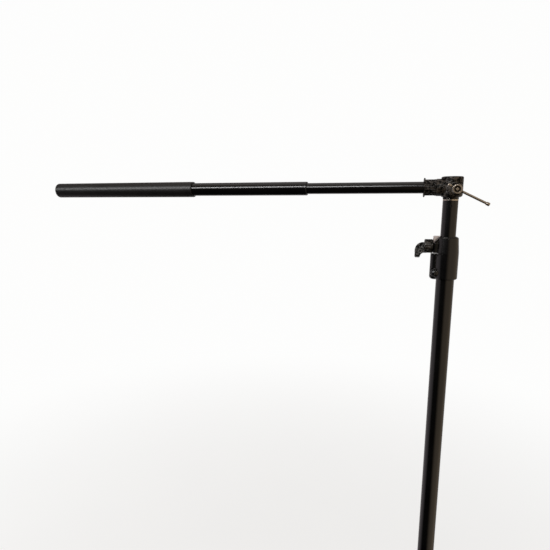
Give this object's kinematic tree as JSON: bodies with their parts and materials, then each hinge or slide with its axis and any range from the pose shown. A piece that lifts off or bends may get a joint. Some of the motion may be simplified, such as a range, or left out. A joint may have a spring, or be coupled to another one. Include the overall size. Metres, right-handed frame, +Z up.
{
  "type": "light stand with telescopic cross arm",
  "caption": "Black light stand on a swing-leg base: a riser with a lever-locked collar carries a cast head, T-handle and telescopic horizontal arm.",
  "frame": {"origin": "on the floor, at the middle of the whole footprint of base and arm; the column's axis is 283 mm along +X", "axes": "+Z up the column, -X out along the arm, -Y to the side of the head's T-handle"},
  "size_m": [1.0425, 0.792, 1.2228],
  "materials": {
    "black_tube": "satin black finish on drawn steel tube",
    "black_arm_gloss": "glossy black finish on the two thinner arm tubes",
    "black_arm_satin": "satin black finish on the thick arm tube",
    "collar_black": "satin black collar casting",
    "cast_black": "crinkle black finish on rough castings",
    "nut_plastic": "ribbed moulded nut, matte",
    "knob_plastic": "fine-textured moulded knob",
    "black_plastic": "moulded plugs and bushes",
    "nylon": "dark nylon wearing parts",
    "black_steel": "blackened steel fasteners",
    "bare_zinc": "bare zinc casting",
    "zinc_steel": "zinc-plated steel",
    "bright_chrome": "bright chrome plate",
    "foot_rubber": "matt rubber"
  },
  "bodies": {
    "column": {"column_tube": "black_tube", "column_plug": "black_plastic", "collar": "collar_black", "guide_bush": "nylon", "collar_screw": "black_steel", "lower_hub": "cast_black", "lower_leg": "black_tube", "lower_foot": "foot_rubber", "lower_leg_bolt": "black_steel", "hub_washers": "nylon", "lock_ring": "cast_black", "brake_shoe": "bare_zinc"},
    "middle_leg": {"middle_hub": "cast_black", "middle_leg": "black_tube", "middle_foot": "foot_rubber", "middle_leg_bolt": "black_steel"},
    "upper_leg": {"upper_hub": "cast_black", "upper_leg": "black_tube", "upper_foot": "foot_rubber", "upper_leg_bolt": "black_steel"},
    "base_lock": {"base_lock_screw": "zinc_steel", "base_lock_knob": "knob_plastic"},
    "lever": {"lever_screw": "zinc_steel", "lever_handle": "knob_plastic"},
    "riser": {"riser_tube": "black_tube", "riser_foot": "nylon", "spigot": "bright_chrome", "spigot_rivet": "black_steel"},
    "head": {"head_casting": "cast_black", "collet": "nylon", "arm_tube_inner": "black_arm_gloss", "inner_lock_core": "black_plastic", "inner_lock_sleeve": "nylon", "arm_root_plug": "black_plastic"},
    "clamp_screw": {"clamp_screw": "bright_chrome"},
    "sliding_bar": {"sliding_bar": "bright_chrome", "sliding_bar_ends": "bright_chrome"},
    "lock_nut": {"lock_nut": "nut_plastic"},
    "arm_middle": {"arm_tube_middle": "black_arm_gloss", "middle_mouth_bush": "black_plastic", "middle_lock_core": "black_plastic", "middle_lock_sleeve": "nylon"},
    "arm_outer": {"arm_tube_outer": "black_arm_satin", "outer_mouth_bush": "black_plastic", "arm_end_cap": "black_plastic"}
  },
  "joints": [
    {"name": "middle_leg_swing", "type": "hinge", "parent": "column", "child": "middle_leg", "pos_m": [0.2832, 0, 0.1465], "axis": [0, 0, 1], "range_deg": [0, 98]},
    {"name": "upper_leg_swing", "type": "hinge", "parent": "column", "child": "upper_leg", "pos_m": [0.2832, 0, 0.1845], "axis": [0, 0, 1], "range_deg": [-98, 0]},
    {"name": "base_lock_turn", "type": "hinge", "parent": "column", "child": "base_lock", "pos_m": [0.2832, -0.04, 0.221], "axis": [0, -1, 0], "range_deg": [0, 270]},
    {"name": "lever_turn", "type": "hinge", "parent": "column", "child": "lever", "pos_m": [0.2532, 0, 1.1046], "axis": [-1, 0, 0], "range_deg": [0, 180]},
    {"name": "riser_slide", "type": "slide", "parent": "column", "child": "riser", "axis": [0, 0, 1], "range_m": [-0.049, 0.7693]},
    {"name": "head_pan", "type": "hinge", "parent": "riser", "child": "head", "pos_m": [0.2832, 0, 1.205], "axis": [0, 0, 1], "continuous": true},
    {"name": "clamp_screw_turn", "type": "hinge", "parent": "head", "child": "clamp_screw", "pos_m": [0.2867, -0.048, 1.201], "axis": [0, -1, 0], "range_deg": [0, 270]},
    {"name": "sliding_bar_slide", "type": "slide", "parent": "clamp_screw", "child": "sliding_bar", "axis": [-0.8926, 0, 0.4509], "range_m": [-0.0023, 0.0416]},
    {"name": "lock_nut_turn", "type": "hinge", "parent": "head", "child": "lock_nut", "pos_m": [0.2482, 0, 1.205], "axis": [-1, 0, 0], "range_deg": [0, 180]},
    {"name": "arm_middle_slide", "type": "slide", "parent": "head", "child": "arm_middle", "axis": [1, 0, 0], "range_m": [0, 0.1758]},
    {"name": "arm_outer_slide", "type": "slide", "parent": "arm_middle", "child": "arm_outer", "axis": [1, 0, 0], "range_m": [0, 0.1745]}
  ]
}
